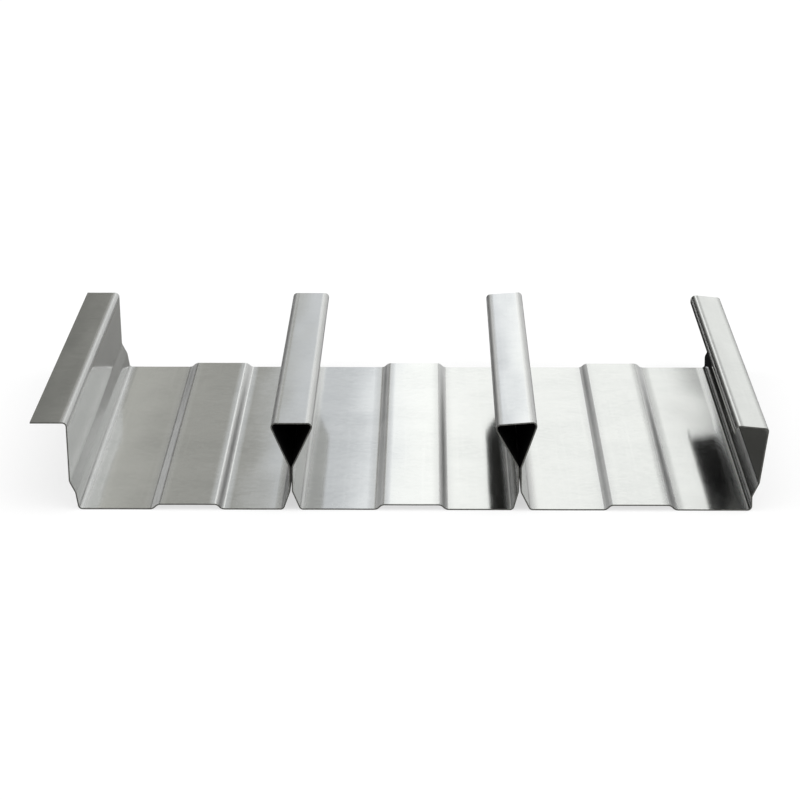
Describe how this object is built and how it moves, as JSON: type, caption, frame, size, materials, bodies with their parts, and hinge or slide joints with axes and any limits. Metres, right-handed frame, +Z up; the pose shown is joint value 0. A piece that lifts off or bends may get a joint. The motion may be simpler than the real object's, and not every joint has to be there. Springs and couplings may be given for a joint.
{
  "type": "steel floor deck",
  "caption": "Roll-formed galvanised steel floor deck with closed wedge-headed ribs, stiffened pans and a lapping flange along each side.",
  "frame": {"origin": "under the middle of the sheet's overall width and length, on the plane of the soffit", "axes": "+X across the ribs towards the seat edge, +Y along the ribs, +Z up from the soffit to the rib heads"},
  "size_m": [0.549, 0.45, 0.0684],
  "materials": {
    "galvanised_steel": "hot-dip galvanised strip, minimised spangle, semi-gloss, bare cut ends"
  },
  "bodies": {
    "root": {"deck_sheet": "galvanised_steel"}
  },
  "joints": []
}
